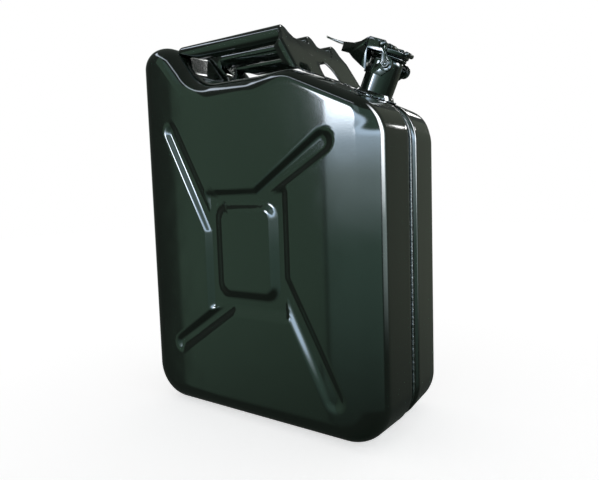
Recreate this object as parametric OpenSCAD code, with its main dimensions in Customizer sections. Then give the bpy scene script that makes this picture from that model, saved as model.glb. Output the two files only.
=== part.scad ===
// 20 litre steel fuel can: two pressed half shells, three carrying bars, a tilted neck
// and a lever closure. Origin under the middle of the base, X along the length with the
// neck at +X, Y across the width, Z up.

/* [Body] */
// Length of the can body over its two narrow sides
body_l = 345; // [340:1:350]
// Width of the can body over its two large faces
body_w = 165; // [160:1:170]
// Height of the rear air hump, the highest point of the can
can_h = 466; // [455:1:475]
// Radius of the two bottom corners seen from the large face
bottom_r = 49; // [40:1:60]
// Radius from the narrow sides onto the large faces
edge_r = 24; // [18:1:28]
// Radius of the edge between the large face and the front slope
shoulder_r = 14; // [10:1:24]
// Sheet thickness of the pressed shells
sheet = 1.0; // [0.8:0.1:1.5]
// Height of the front corner where the neck slope would meet the front
slope_low_z = 353; // [345:1:360]
// Height of the saddle under the carrying bars
saddle_z = 404; // [395:1:412]
// Half width of the sunk channel that holds the seam
channel_half = 10; // [8:0.5:12]
// Depth of the sunk channel
channel_depth = 9; // [7:0.5:11]
// Depth of the pressed cross on the large faces
cross_depth = 3.5; // [3:0.5:7]

/* [Handles] */
// Outer radius of a carrying bar
bar_r = 10; // [8:0.5:11]
// Distance between neighbouring bars
bar_pitch = 54; // [48:1:56]
// Height of the centre line of the bars
bar_z = 451.3; // [440:0.1:455]
// Angle by which the bars fall towards the neck
bar_rake = 1.9; // [0:0.1:3]
// Wall of the bars and of the front plate
handle_sheet = 1.5; // [1:0.1:2]

/* [Neck] */
// Distance from the middle of the can to the neck
neck_x = 129; // [125:1:130]
// Lean of the neck towards the front
neck_tilt = 24; // [20:1:28]
// Outer radius of the neck tube
neck_r = 18.7; // [17:0.1:20]
// Wall of the neck tube
neck_wall = 1.4; // [1:0.1:2]
// Height of the rolled mouth above the can surface along the neck
mouth_s = 44.7; // [40:0.1:48]

/* [Closure] */
// Trunnion position forward of the neck axis
trunnion_u = 12; // [10:0.5:14]
// Trunnion height along the neck
trunnion_s = 34.5; // [32:0.5:36]
// Radius of the trunnion pins
trunnion_r = 2.75; // [2:0.25:3.5]
// Height of the lid pin along the neck
lid_pin_s = 52.8; // [52:0.1:54]
// Radius of the lid pin
lid_pin_r = 2.0; // [1.5:0.1:2.5]
// How far the lid reaches past the neck tube
lid_over = 2.8; // [2:0.1:3]
// Radial running clearance of every hinge
running = 0.05; // [0.02:0.01:0.10]
// Thickness of the lever sheet
lever_sheet = 2.0; // [1.5:0.1:2.5]

/* [Hidden] */
$fn = 64;
gap = 0.15;
paint = [0.10, 0.17, 0.13];
rubber = [0.05, 0.05, 0.05];
draft = 1.9;
knee_x = 68;
hump_foot_x = -72.5;
hump_crest_x = -120.5;
half_l = body_l / 2;
half_w = body_w / 2;
lip_y = channel_half + 2.4;
slope_a = atan((saddle_z - slope_low_z) / (half_l - knee_x));
lid_r = neck_r + lid_over;

// Corners of the outline seen from the large face: x, z, radius, steps of the arc.
corners = [
  [-half_l, 0, bottom_r, 7], [half_l, 0, bottom_r, 7],
  [half_l, slope_low_z, 49, 6], [knee_x, saddle_z, 40, 3],
  [hump_foot_x, saddle_z + 5.5, 58, 5], [hump_crest_x, can_h, 44, 5],
  [-half_l, can_h, 30, 6]];

function unit(v) = v / norm(v);
function turned(v, a) = [v[0] * cos(a) - v[1] * sin(a), v[0] * sin(a) + v[1] * cos(a)];
function xz(c) = [c[0], c[1]];

// Points of one rounded corner, each with its outward normal: [x, z, nx, nz].
function corner_arc(p, c, q) =
  let (d1 = unit(xz(c) - xz(p)), d2 = unit(xz(q) - xz(c)),
       cr = d1[0] * d2[1] - d1[1] * d2[0],
       s = cr > 0 ? 1 : -1,
       phi = acos(min(1, d1 * d2)),
       t = c[2] * tan(phi / 2),
       n0 = [d1[1], -d1[0]],
       m = xz(c) - d1 * t - n0 * s * c[2])
  [for (k = [0 : c[3]])
    let (n = turned(n0, s * phi * k / c[3]), w = m + n * s * c[2]) [w[0], w[1], n[0], n[1]]];

// Extra points on the straight run that follows a corner.
function run(a, b, n) =
  [for (k = [1 : n]) let (f = k / (n + 1)) [a[0] + (b[0] - a[0]) * f, a[1] + (b[1] - a[1]) * f,
    a[2], a[3]]];

nc = len(corners);
arcs = [for (i = [0 : nc - 1])
  corner_arc(corners[(i + nc - 1) % nc], corners[i], corners[(i + 1) % nc])];
run_n = [7, 8, 3, 4, 1, 1, 9];
outline = [for (i = [0 : nc - 1], p = concat(arcs[i],
  run(arcs[i][len(arcs[i]) - 1], arcs[(i + 1) % nc][0], run_n[i]))) p];
no = len(outline);

function off_pt(i, d) = [outline[i][0] - d * outline[i][2], outline[i][1] - d * outline[i][3]];
function off_line(d) = [for (i = [0 : no - 1]) off_pt(i, d)];

// Pressed cross: a recessed frame round a plain rectangle, with four arms.
cross_c = [0.75, 204];
cross_wall = 9;
// Each arm: its two ends and its half width at each of them.
arms = [[[22, 268], [107.5, 320.5], 12.8, 15.2], [[-50, 232], [-114, 351.5], 14.1, 12.4],
  [[-22, 142.5], [-111, 83.5], 13.2, 13], [[50, 178], [115, 52], 13.4, 15]];
function box_sd(p, c, h, r) =
  let (q = [abs(p[0] - c[0]) - h[0] + r, abs(p[1] - c[1]) - h[1] + r])
  norm([max(q[0], 0), max(q[1], 0)]) + min(max(q[0], q[1]), 0) - r;
function arm_sd(p, a) =
  let (d = a[1] - a[0], f = max(0, min(1, (p - a[0]) * d / (d * d))))
  norm(p - a[0] - d * f) - a[2] - (a[3] - a[2]) * f;
function cross_sd(p) =
  max(min(box_sd(p, cross_c, [63.8, 75.5], 10), min([for (a = arms) arm_sd(p, a)])),
      -box_sd(p, cross_c + [0.5, 1], [35.8, 46.3], 9));
function press(p) =
  let (f = max(0, min(1, -cross_sd(p) / cross_wall))) cross_depth * f * f * (3 - 2 * f);

// Cross-section stations of the outer skin: [inset from the outline, y].
function skin(r) = concat([[channel_depth - 6, 1.1], [channel_depth, 1.1],
  [channel_depth, channel_half - 3.4],
  [0.8, channel_half], [0, lip_y]],
  [for (a = [0 : 18 : 90]) [draft + r * (1 - cos(a)), half_w - r * (1 - sin(a))]]);
function inner_skin(r) = concat([[channel_depth - 6, 0.1], [channel_depth + sheet, 0.1],
  [channel_depth + sheet, channel_half - 3], [0.8 + sheet, channel_half + 0.6],
  [sheet, channel_half + 3]],
  [for (a = [0 : 18 : 90]) [draft + r - (r - sheet) * cos(a),
    half_w - r + (r - sheet) * sin(a)]]);
face_t = [0.90, 0.82, 0.75, 0.68, 0.61, 0.54, 0.47, 0.40, 0.33, 0.26, 0.18, 0.09];

// The edge radius eases from edge_r to shoulder_r along the front slope.
function ease(f) = let (g = max(0, min(1, f))) g * g * (3 - 2 * g);
function rim_r(i) = edge_r + (shoulder_r - edge_r)
  * ease((outline[i][0] - knee_x + 58) / 50) * ease((outline[i][1] - slope_low_z + 18) / 30);
function skin_rings(st) = [for (k = [0 : len(st[0]) - 1]) [for (i = [0 : no - 1])
  let (s = st[i][k], p = off_pt(i, s[0])) [p[0], s[1], p[1]]]];
function face_ring(t, y) = [for (i = [0 : no - 1])
  let (p = cross_c + (off_pt(i, draft + rim_r(i)) - cross_c) * t) [p[0], y - press(p), p[1]]];
function side_rings(st, y) = concat(skin_rings(st), [for (t = face_t) face_ring(t, y)]);
function flat(rings) = [for (r = rings, p = r) p];

// One half shell on the +Y side as a closed skin: outer rings out to in, then inner rings.
module half_shell() {
  outer = side_rings([for (i = [0 : no - 1]) skin(rim_r(i))], half_w);
  inner = side_rings([for (i = [0 : no - 1]) inner_skin(rim_r(i))], half_w - sheet);
  nr = len(outer);
  n_out = nr * no;
  co = 2 * n_out;
  pts = concat(flat(outer), flat(inner),
    [[cross_c[0], half_w - press(cross_c), cross_c[1]],
     [cross_c[0], half_w - sheet - press(cross_c), cross_c[1]]]);
  quads_out = [for (r = [0 : nr - 2], i = [0 : no - 1]) let (j = (i + 1) % no)
    each [[r * no + i, (r + 1) * no + i, (r + 1) * no + j], [r * no + i, (r + 1) * no + j, r * no + j]]];
  quads_in = [for (r = [0 : nr - 2], i = [0 : no - 1]) let (j = (i + 1) % no, b = n_out + r * no)
    each [[b + i, b + j, b + no + j], [b + i, b + no + j, b + no + i]]];
  fan_out = [for (i = [0 : no - 1]) [(nr - 1) * no + i, co, (nr - 1) * no + (i + 1) % no]];
  fan_in = [for (i = [0 : no - 1])
    [n_out + (nr - 1) * no + i, n_out + (nr - 1) * no + (i + 1) % no, co + 1]];
  tips = [for (i = [0 : no - 1]) let (j = (i + 1) % no)
    each [[i, j, n_out + j], [i, n_out + j, n_out + i]]];
  polyhedron(points = pts, faces = concat(quads_out, quads_in, fan_out, fan_in, tips));
}

function slope_z(x) = slope_low_z + (half_l - x) * tan(slope_a);
module on_neck() { translate([neck_x, 0, slope_z(neck_x)]) rotate([0, neck_tilt, 0]) children(); }
module along_y(len, r) { translate([0, len / 2, 0]) rotate([90, 0, 0]) cylinder(h = len, r = r); }
module neck_hole(r) { on_neck() translate([0, 0, -40]) cylinder(h = 70, r = r); }
// A side profile in the neck frame, given as (u, s), standing from y0 to y1.
module profile(y0, y1, pts) {
  translate([0, y1, 0]) rotate([90, 0, 0]) linear_extrude(height = y1 - y0) polygon(pts);
}

module shell_left() { color(paint) difference() { half_shell(); neck_hole(neck_r + gap); } }
module shell_right() {
  color(paint) difference() { mirror([0, 1, 0]) half_shell(); neck_hole(neck_r + gap); }
}

module seam_weld() {
  d0 = channel_depth - 6 - gap;
  prof = [[d0, -1.9], [d0 - 1.1, -1.5], [d0 - 1.6, 0], [d0 - 1.1, 1.5], [d0, 1.9]];
  np = len(prof);
  pts = [for (s = prof, i = [0 : no - 1]) let (p = off_pt(i, s[0])) [p[0], s[1], p[1]]];
  faces = [for (r = [0 : np - 1], i = [0 : no - 1]) let (q = (r + 1) % np, j = (i + 1) % no)
    each [[r * no + i, q * no + i, q * no + j], [r * no + i, q * no + j, r * no + j]]];
  color(paint) difference() { polyhedron(points = pts, faces = faces); neck_hole(neck_r + 6); }
}

// The front plate leans back: its front surface passes this point at this angle.
plate_x = 54;
plate_z = 438.5;
plate_a = 59;
module behind_plate(d0, d1) {
  translate([plate_x, 0, plate_z]) rotate([0, plate_a - 90, 0])
    translate([-d1, -100, -100]) cube([d1 - d0, 200, 200]);
}

bar_tail_x = -80;
bar_end_x = -113;
// The narrow side leans in with the draft, so the tail lies lower the further out it is.
bar_end_z = 454.7146 - draft * (bar_pitch - lip_y) / (half_w - edge_r - lip_y);
bar_rise = atan((bar_end_z - bar_z + bar_r) / (bar_tail_x - bar_end_x));
bar_foot_x = -92;
bar_front_z = bar_z - (44 - bar_foot_x) * tan(bar_rake);
module raked() {
  translate([bar_foot_x, 0, bar_z]) rotate([0, bar_rake, 0])
    translate([-bar_foot_x, 0, -bar_z]) children();
}
module bar_envelope(x0, r) {
  raked() translate([x0, 0, bar_z]) rotate([0, 90, 0]) cylinder(h = 80 - x0, r = r);
}
module below_tail(drop) {
  raked() translate([bar_tail_x, 0, bar_z - bar_r - drop]) rotate([0, bar_rise, 0])
    translate([-60, -30, -40]) cube([60, 60, 40]);
}
module outer_bar(y) {
  color(paint) translate([0, y, 0]) difference() {
    bar_envelope(bar_end_x, bar_r);
    difference() {
      bar_envelope(bar_end_x - 1, bar_r - handle_sheet);
      below_tail(-handle_sheet);
    }
    below_tail(0);
    behind_plate(-80, handle_sheet + gap);
  }
}
module handle_bar_right() { outer_bar(-bar_pitch); }
module handle_bar_left() { outer_bar(bar_pitch); }
module handle_bar_middle() {
  color(paint) difference() {
    bar_envelope(bar_foot_x, bar_r);
    bar_envelope(bar_foot_x - 1, bar_r - handle_sheet);
    behind_plate(-80, handle_sheet + gap);
  }
}

// Foot of the middle bar: a folded box that stands in the seam channel of the hump.
foot_w = 7.5;
hump_pts = [for (i = [0 : no - 1]) if (abs(outline[i][0] + 90) < 50 && outline[i][1] > 380)
  off_pt(i, 1.1)];
module handle_rear_foot() {
  y0 = -foot_w;
  top = bar_z + bar_r;
  foot_x = bar_foot_x - 0.5;
  color(paint) difference() {
    profile(y0, foot_w, [[foot_x, top], [-119, top], [-119, 440], [-84, 412], [-80, 418],
      [-82, 429], [foot_x, bar_z - bar_r]]);
    profile(y0 + handle_sheet, foot_w - handle_sheet, [[-91, top - handle_sheet],
      [-117.5, top - handle_sheet], [-117.5, 440], [-84, 412], [-81.5, 418], [-83.6, 429],
      [-91, bar_z - bar_r + 2]]);
    profile(-20, 20, concat(hump_pts, [[-160, 440], [-160, 380], [-40, 380]]));
  }
}

// Front plate: one transverse pressing that carries the bar ends down to the shoulder.
plate_foot_z = 402;
plate_foot_x = plate_x + (plate_z - plate_foot_z) / tan(plate_a);
bar_edge_y = bar_pitch + bar_r;
plate_edge = [[bar_edge_y + 1, bar_front_z + 2], [bar_edge_y + 8.5, plate_z - 2],
  [bar_edge_y + 10.5, plate_foot_z - 6]];
module along_x(x0, x1) { translate([x0, 0, 0]) rotate([90, 0, 90]) linear_extrude(height = x1 - x0) children(); }
module plate_outline() {
  for (y = [-bar_pitch, 0, bar_pitch]) translate([y, bar_front_z]) circle(r = bar_r + 0.6);
  polygon([[-plate_edge[2][0], plate_foot_z - 6], [plate_edge[2][0], plate_foot_z - 6],
    plate_edge[1], plate_edge[0], [bar_pitch - 8, bar_front_z - 1.5],
    [8 - bar_pitch, bar_front_z - 1.5], [-plate_edge[0][0], plate_edge[0][1]],
    [-plate_edge[1][0], plate_edge[1][1]]]);
}
module plate_side() {
  polygon(concat(plate_edge, [for (i = [2 : -1 : 0]) plate_edge[i] - [handle_sheet, 0]]));
}
module under_foot() {
  translate([plate_foot_x + 3, 0, slope_z(plate_foot_x + 3) + gap]) rotate([0, slope_a, 0])
    translate([-100, -100, -60]) cube([200, 200, 60]);
}
module handle_front_plate() {
  color(paint) difference() {
    union() {
      intersection() { behind_plate(0, handle_sheet); along_x(20, 100) plate_outline(); }
      intersection() {
        behind_plate(0, 13);
        along_x(20, 100) { plate_side(); mirror([1, 0]) plate_side(); }
      }
      difference() {
        translate([plate_foot_x - 2, -bar_edge_y - 10, slope_z(plate_foot_x - 2) + gap])
          rotate([0, slope_a, 0]) cube([9, 2 * bar_edge_y + 20, handle_sheet]);
        behind_plate(handle_sheet, 60);
      }
    }
    translate([60, 0, 404]) rotate([0, 90, 0]) scale([1.15, 1, 1]) cylinder(h = 60, r = 17, center = true);
    under_foot();
  }
}

lip_r = 1.45;
module neck_tube() {
  color(paint) on_neck() difference() {
    translate([0, 0, -14]) cylinder(h = mouth_s + 14 - 2 * lip_r - gap, r = neck_r);
    translate([0, 0, -15]) cylinder(h = mouth_s + 20, r = neck_r - neck_wall);
  }
}
module neck_lip() {
  color(paint) on_neck() translate([0, 0, mouth_s - lip_r])
    rotate_extrude() translate([neck_r + 0.2, 0]) circle(r = lip_r);
}
module neck_collar() {
  color(paint) difference() {
    on_neck() difference() {
      translate([0, 0, -3]) cylinder(h = 7.5, r1 = 24.5, r2 = neck_r + 1.4);
      translate([0, 0, -4]) cylinder(h = 20, r = neck_r + running);
    }
    translate([neck_x, 0, slope_z(neck_x) + gap]) rotate([0, slope_a, 0])
      translate([-60, -60, -60]) cube([120, 120, 60]);
  }
}

strap_in = neck_r + running;
strap_out = strap_in + 2;
module pivot_strap() {
  color(paint) on_neck() difference() {
    union() {
      difference() {
        translate([0, 0, 22]) cylinder(h = 9.5, r = strap_out);
        translate([0, -40, 0]) cube([40, 80, 60]);
      }
      for (s = [-1, 1]) {
        y0 = s > 0 ? strap_in : -strap_out;
        profile(y0, y0 + 2, [[-1, 22], [9, 22], [trunnion_u + 6, trunnion_s - 3],
          [trunnion_u - 4, trunnion_s + 5], [-1, 31.5]]);
        translate([trunnion_u, y0 + 1, trunnion_s]) along_y(2, 6.5);
      }
    }
    translate([0, 0, 10]) cylinder(h = 40, r = strap_in);
    translate([trunnion_u, 0, trunnion_s]) along_y(60, trunnion_r);
  }
}

wall_in = strap_out + 1.85;
wall_out = wall_in + lever_sheet;
module trunnion(s) {
  color(paint) on_neck() translate([trunnion_u, 0, trunnion_s]) scale([1, s, 1]) {
    translate([0, (strap_in + 0.3 + wall_out + 0.2) / 2, 0])
      along_y(wall_out + 0.2 - strap_in - 0.3, trunnion_r);
    translate([0, (strap_out + wall_in) / 2, 0]) along_y(wall_in - strap_out - 0.2, 4.2);
    translate([0, wall_out + 0.1 + 0.85, 0]) along_y(1.7, 4.6);
  }
}
module trunnion_left() { trunnion(1); }
module trunnion_right() { trunnion(-1); }

tongue_x = -82;
top_s = 56.6;
crest = [[-5, top_s], [-16, top_s], [-20, 54.6], [-27, 49.8], [-36, 46.6], [-52, 45.2], [-62, 45],
  [tongue_x + 5, 45.6], [tongue_x, 46.8]];
function lowered(p, d) = [for (i = [len(p) - 1 : -1 : 0]) [p[i][0], p[i][1] - d]];
module lever_wall(y0, s) {
  plan = [[21, wall_out], [21, wall_in], [-15.6, wall_in], [-52, 12], [-52, 14], [-16, wall_out]];
  intersection() {
    union() {
      profile(-30, 30, [[-52, 35], [-39, 35], [-31, 31], [-9, 23.4], [-15.5, 45.2], [4, 45.2],
        [trunnion_u - 7.2, trunnion_s + 1], [trunnion_u + 7.2, trunnion_s + 1], [10.5, 42.5],
        [7, 46], [6.5, 53], [2.5, top_s], [-16, top_s], [-20, 54.6], [-27, 49.8], [-36, 46.6],
        [-52, 45.2]]);
      translate([trunnion_u, 0, trunnion_s]) along_y(60, 7.3);
    }
    scale([1, s, 1]) linear_extrude(height = 80) polygon(plan);
  }
}
module lever_hood() {
  color(paint) on_neck() difference() {
    union() {
      lever_wall(0, 1);
      lever_wall(0, -1);
      intersection() {
        profile(-30, 30, concat(crest, lowered(crest, 1.7)));
        linear_extrude(height = 80) polygon([[-5, wall_in], [-15.6, wall_in], [-52, 12.5],
          [-60, 13], [tongue_x + 6, 13], [tongue_x, 7], [tongue_x, -7], [tongue_x + 6, -13],
          [-60, -13], [-52, -12.5], [-15.6, -wall_in], [-5, -wall_in]]);
      }
    }
    translate([trunnion_u, 0, trunnion_s]) along_y(80, trunnion_r + running);
    translate([0, 0, lid_pin_s]) along_y(80, lid_pin_r);
    translate([-18.5, 0, 47.8]) along_y(80, 2.4);
  }
}

module lid_pin() {
  color(paint) on_neck() translate([0, 0, lid_pin_s]) {
    along_y(2 * wall_out + 0.4, lid_pin_r);
    for (s = [-1, 1]) translate([0, s * (wall_out + 0.9), 0]) along_y(1.6, 3.9);
  }
}
lid_s = 45.6;
module lid_plate() {
  color(paint) on_neck() translate([0, 0, lid_s]) difference() {
    cylinder(h = 5, r = lid_r);
    translate([0, 0, 2.8]) cylinder(h = 5, r = lid_r - 1.2);
    translate([0, 0, -1]) cylinder(h = 2.6, r = lid_r - 1.2);
  }
}
module lid_gasket() {
  color(rubber) on_neck() translate([0, 0, mouth_s + 0.1]) difference() {
    cylinder(h = lid_s + 1.55 - mouth_s - 0.1, r = lid_r - 1.3);
    translate([0, 0, -1]) cylinder(h = 10, r = neck_r - 4.2);
  }
}
hub_base = lid_s + 2.85;
module lid_hub() {
  color(paint) on_neck() difference() {
    union() {
      translate([-9, -8, hub_base]) cube([18, 16, 1.5]);
      translate([-3.2, -8, hub_base]) cube([6.4, 16, lid_pin_s - hub_base]);
      translate([0, 0, lid_pin_s]) along_y(16, 3.6);
    }
    translate([0, 0, lid_pin_s]) along_y(30, lid_pin_r + running);
  }
}
roll_u = lid_r + 0.7;
module lid_stop_roll() {
  color(paint) on_neck() difference() {
    union() {
      translate([roll_u, 0, lid_s + 5]) along_y(16, 2.6);
      translate([lid_r + 0.05, -8, 47.6]) cube([2.6, 16, 3]);
    }
    translate([roll_u, 0, lid_s + 5]) along_y(20, 1.2);
    on_lid_rim();
  }
}
module on_lid_rim() { translate([0, 0, 40]) cylinder(h = 20, r = lid_r + 0.05); }

shell_right();
shell_left();
seam_weld();
handle_bar_right();
handle_bar_middle();
handle_bar_left();
handle_rear_foot();
handle_front_plate();
neck_tube();
neck_lip();
neck_collar();
pivot_strap();
trunnion_right();
trunnion_left();
lever_hood();
lid_pin();
lid_plate();
lid_gasket();
lid_hub();
lid_stop_roll();
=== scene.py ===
"""Dark green enamelled steel fuel can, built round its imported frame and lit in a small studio."""

import logging
import math
from dataclasses import dataclass, field
from enum import Enum

import bmesh
import bpy
import numpy as np
from mathutils import Matrix


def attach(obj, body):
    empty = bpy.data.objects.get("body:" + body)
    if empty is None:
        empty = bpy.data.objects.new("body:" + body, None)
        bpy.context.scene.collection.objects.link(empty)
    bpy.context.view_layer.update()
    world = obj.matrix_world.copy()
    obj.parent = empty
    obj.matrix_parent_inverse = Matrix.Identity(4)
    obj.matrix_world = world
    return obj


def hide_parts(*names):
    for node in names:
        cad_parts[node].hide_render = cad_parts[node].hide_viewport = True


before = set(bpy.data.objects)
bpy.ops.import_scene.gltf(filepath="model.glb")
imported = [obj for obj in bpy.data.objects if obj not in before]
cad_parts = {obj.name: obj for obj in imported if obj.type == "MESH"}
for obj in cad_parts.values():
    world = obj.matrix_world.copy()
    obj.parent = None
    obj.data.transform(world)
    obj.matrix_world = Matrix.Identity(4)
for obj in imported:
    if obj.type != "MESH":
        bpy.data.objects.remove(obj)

log = logging.getLogger("fuel_can")
MM = 0.001

# The front shoulder: a straight slope up and back from the front end of the can, in millimetres.
HALF_LENGTH = 172.5
SHOULDER_LOW = 353.0
SHOULDER_RISE, SHOULDER_RUN = 51.0, 104.5


def shoulder_z(x: float | np.ndarray) -> float | np.ndarray:
    """Height of the front shoulder at x, in millimetres."""
    return SHOULDER_LOW + (HALF_LENGTH - x) * SHOULDER_RISE / SHOULDER_RUN


# ---------------------------------------------------------------- small tools


def linear(hex_colour: str) -> tuple[float, float, float, float]:
    """Turns an sRGB hex value into linear RGBA.

    Args:
        hex_colour: Six hex digits with a leading hash.

    Returns:
        Linear red, green, blue and an alpha of one.
    """
    srgb = np.array([int(hex_colour[i : i + 2], 16) for i in (1, 3, 5)]) / 255.0
    rgb = np.where(srgb <= 0.04045, srgb / 12.92, ((srgb + 0.055) / 1.055) ** 2.4)
    return (float(rgb[0]), float(rgb[1]), float(rgb[2]), 1.0)


def add_node(tree: bpy.types.NodeTree, kind: str, links: dict | None = None, **settings) -> bpy.types.Node:
    """Adds one node, sets it up and links its inputs.

    Args:
        tree: The tree that gets the node.
        kind: The node's type name.
        links: Input name or index to an output socket or a plain value.
        **settings: Attributes of the node.

    Returns:
        The new node.
    """
    node = tree.nodes.new(kind)
    for key, value in settings.items():
        setattr(node, key, value)
    for key, value in (links or {}).items():
        if isinstance(value, bpy.types.NodeSocket):
            tree.links.new(value, node.inputs[key])
        else:
            node.inputs[key].default_value = value
    return node


def mesh_piece(name: str, points: np.ndarray, faces: list[np.ndarray]) -> bpy.types.Object:
    """Puts points and faces into a new smooth mesh object.

    Args:
        name: Name of the piece.
        points: Vertex places in millimetres, one row each.
        faces: Arrays of vertex indices, one array for each number of corners.

    Returns:
        The object, linked to the scene, at the origin.
    """
    mesh = bpy.data.meshes.new(name)
    mesh.vertices.add(len(points))
    mesh.vertices.foreach_set("co", (np.asarray(points, float) * MM).astype(np.float32).ravel())
    corner_ids = np.concatenate([f.ravel() for f in faces]).astype(np.int32)
    sizes = np.concatenate([np.full(len(f), f.shape[1]) for f in faces]).astype(np.int32)
    starts = np.concatenate([[0], np.cumsum(sizes)[:-1]]).astype(np.int32)
    mesh.loops.add(len(corner_ids))
    mesh.loops.foreach_set("vertex_index", corner_ids)
    mesh.polygons.add(len(sizes))
    mesh.polygons.foreach_set("loop_start", starts)
    mesh.polygons.foreach_set("use_smooth", np.ones(len(sizes), bool))
    mesh.update(calc_edges=True)
    mesh.validate()
    obj = bpy.data.objects.new(name, mesh)
    bpy.context.scene.collection.objects.link(obj)
    return obj


def band_faces(rings: int, around: int, start: int = 0, flip: bool = False) -> np.ndarray:
    """Quads between neighbouring closed rings of a grid.

    Args:
        rings: Number of rings.
        around: Points in each ring.
        start: Index of the first vertex.
        flip: Turns the faces over.

    Returns:
        Quads, one row each.
    """
    r, i = np.meshgrid(np.arange(rings - 1), np.arange(around), indexing="ij")
    j = (i + 1) % around
    quads = np.stack([r * around + i, r * around + j, (r + 1) * around + j, (r + 1) * around + i], -1)
    quads = quads.reshape(-1, 4) + start
    return quads[:, ::-1] if flip else quads


# ---------------------------------------------------------------- finishes


@dataclass(frozen=True)
class Enamel:
    """High gloss stoving enamel on pressed steel: deep colour under a wet looking skin with orange peel."""

    name: str = "stoved_green_enamel"
    colour: str = "#18221b"
    shade: str = "#151e18"
    roughness: float = 0.10
    peel_mm: float = 1.6
    peel: float = 0.05
    wave_mm: float = 45.0
    wave: float = 0.10
    clouds_per_m: float = 14.0

    def material(self) -> bpy.types.Material:
        """Builds the node material."""
        mat = bpy.data.materials.new(self.name)
        mat.use_nodes = True
        tree = mat.node_tree
        tree.nodes.clear()
        place = add_node(tree, "ShaderNodeTexCoord").outputs["Object"]
        # Wide clouds keep the dull colour under the gloss from looking flat.
        cloud = add_node(tree, "ShaderNodeTexNoise", {"Vector": place, "Scale": self.clouds_per_m, "Detail": 3.0})
        tint = add_node(
            tree,
            "ShaderNodeMix",
            {0: cloud.outputs["Fac"], 6: linear(self.shade), 7: linear(self.colour)},
            data_type="RGBA",
        )
        # Long waves of the pressed sheet bend the reflections, the fine peel of the paint breaks them up.
        wave, peel = (
            add_node(tree, "ShaderNodeTexNoise", {"Vector": place, "Scale": 1.0 / (size * MM), "Detail": 1.0})
            for size in (self.wave_mm, self.peel_mm)
        )
        soft = add_node(
            tree, "ShaderNodeBump", {"Height": wave.outputs["Fac"], "Strength": self.wave, "Distance": 4.0 * MM}
        )
        fine = add_node(
            tree,
            "ShaderNodeBump",
            {
                "Height": peel.outputs["Fac"],
                "Strength": self.peel,
                "Distance": 0.4 * MM,
                "Normal": soft.outputs["Normal"],
            },
        )
        shader = add_node(
            tree,
            "ShaderNodeBsdfPrincipled",
            {
                "Base Color": tint.outputs[2],
                "Roughness": self.roughness,
                "IOR": 1.5,
                "Coat Weight": 1.0,
                "Coat Roughness": 0.03,
                "Normal": fine.outputs["Normal"],
            },
        )
        add_node(tree, "ShaderNodeOutputMaterial", {"Surface": shader.outputs[0]})
        return mat


@dataclass(frozen=True)
class Rubber:
    """Moulded black nitrile rubber: dull, very slightly mottled."""

    name: str = "nitrile_rubber"
    colour: str = "#16171a"

    def material(self) -> bpy.types.Material:
        """Builds the node material."""
        mat = bpy.data.materials.new(self.name)
        mat.use_nodes = True
        tree = mat.node_tree
        tree.nodes.clear()
        place = add_node(tree, "ShaderNodeTexCoord").outputs["Object"]
        grain = add_node(tree, "ShaderNodeTexNoise", {"Vector": place, "Scale": 900.0, "Detail": 2.0})
        # The grain of the mould: just enough to kill any shine.
        bump = add_node(
            tree, "ShaderNodeBump", {"Height": grain.outputs["Fac"], "Strength": 0.15, "Distance": 0.4 * MM}
        )
        shader = add_node(
            tree,
            "ShaderNodeBsdfPrincipled",
            {"Base Color": linear(self.colour), "Roughness": 0.62, "Normal": bump.outputs["Normal"]},
        )
        add_node(tree, "ShaderNodeOutputMaterial", {"Surface": shader.outputs[0]})
        return mat


class Side(Enum):
    """The two halves of the can, by the sign of Y."""

    RIGHT = -1
    LEFT = 1


# ---------------------------------------------------------------- shape makers


def rounded_path(corners: tuple, count: int) -> np.ndarray:
    """Walks round a closed path of straight runs and arcs at even steps.

    Each corner is an arc tangent to both runs: its centre stands off the corner by the
    radius along both normals, and the normal turns evenly through the corner's angle.

    Args:
        corners: Rows of first place, second place and radius, anticlockwise.
        count: Number of points.

    Returns:
        Rows of place and outward normal.
    """
    c = np.array(corners)
    p, q = np.roll(c, 1, 0), np.roll(c, -1, 0)
    d1 = (c - p)[:, :2] / np.linalg.norm((c - p)[:, :2], axis=1)[:, None]
    d2 = (q - c)[:, :2] / np.linalg.norm((q - c)[:, :2], axis=1)[:, None]
    side = np.sign(d1[:, 0] * d2[:, 1] - d1[:, 1] * d2[:, 0])
    turn = np.arccos(np.clip((d1 * d2).sum(1), -1, 1))
    tangent = c[:, 2] * np.tan(turn / 2)
    n0 = np.stack([d1[:, 1], -d1[:, 0]], -1)
    centre = c[:, :2] - d1 * tangent[:, None] - n0 * (side * c[:, 2])[:, None]
    a = (side * turn)[:, None] * np.linspace(0, 1, 61)
    na = n0[:, :1] * np.cos(a) - n0[:, 1:] * np.sin(a)
    nb = n0[:, :1] * np.sin(a) + n0[:, 1:] * np.cos(a)
    reach = (side * c[:, 2])[:, None]
    rows = np.stack([centre[:, :1] + na * reach, centre[:, 1:] + nb * reach, na, nb], -1).reshape(-1, 4)
    rows = np.vstack([rows, rows[:1]])
    along = np.concatenate([[0], np.cumsum(np.linalg.norm(np.diff(rows[:, :2], axis=0), axis=1))])
    want = np.linspace(0, along[-1], count, endpoint=False)
    out = np.stack([np.interp(want, along, rows[:, k]) for k in range(4)], -1)
    out[:, 2:] /= np.linalg.norm(out[:, 2:], axis=1)[:, None]
    return out


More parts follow.
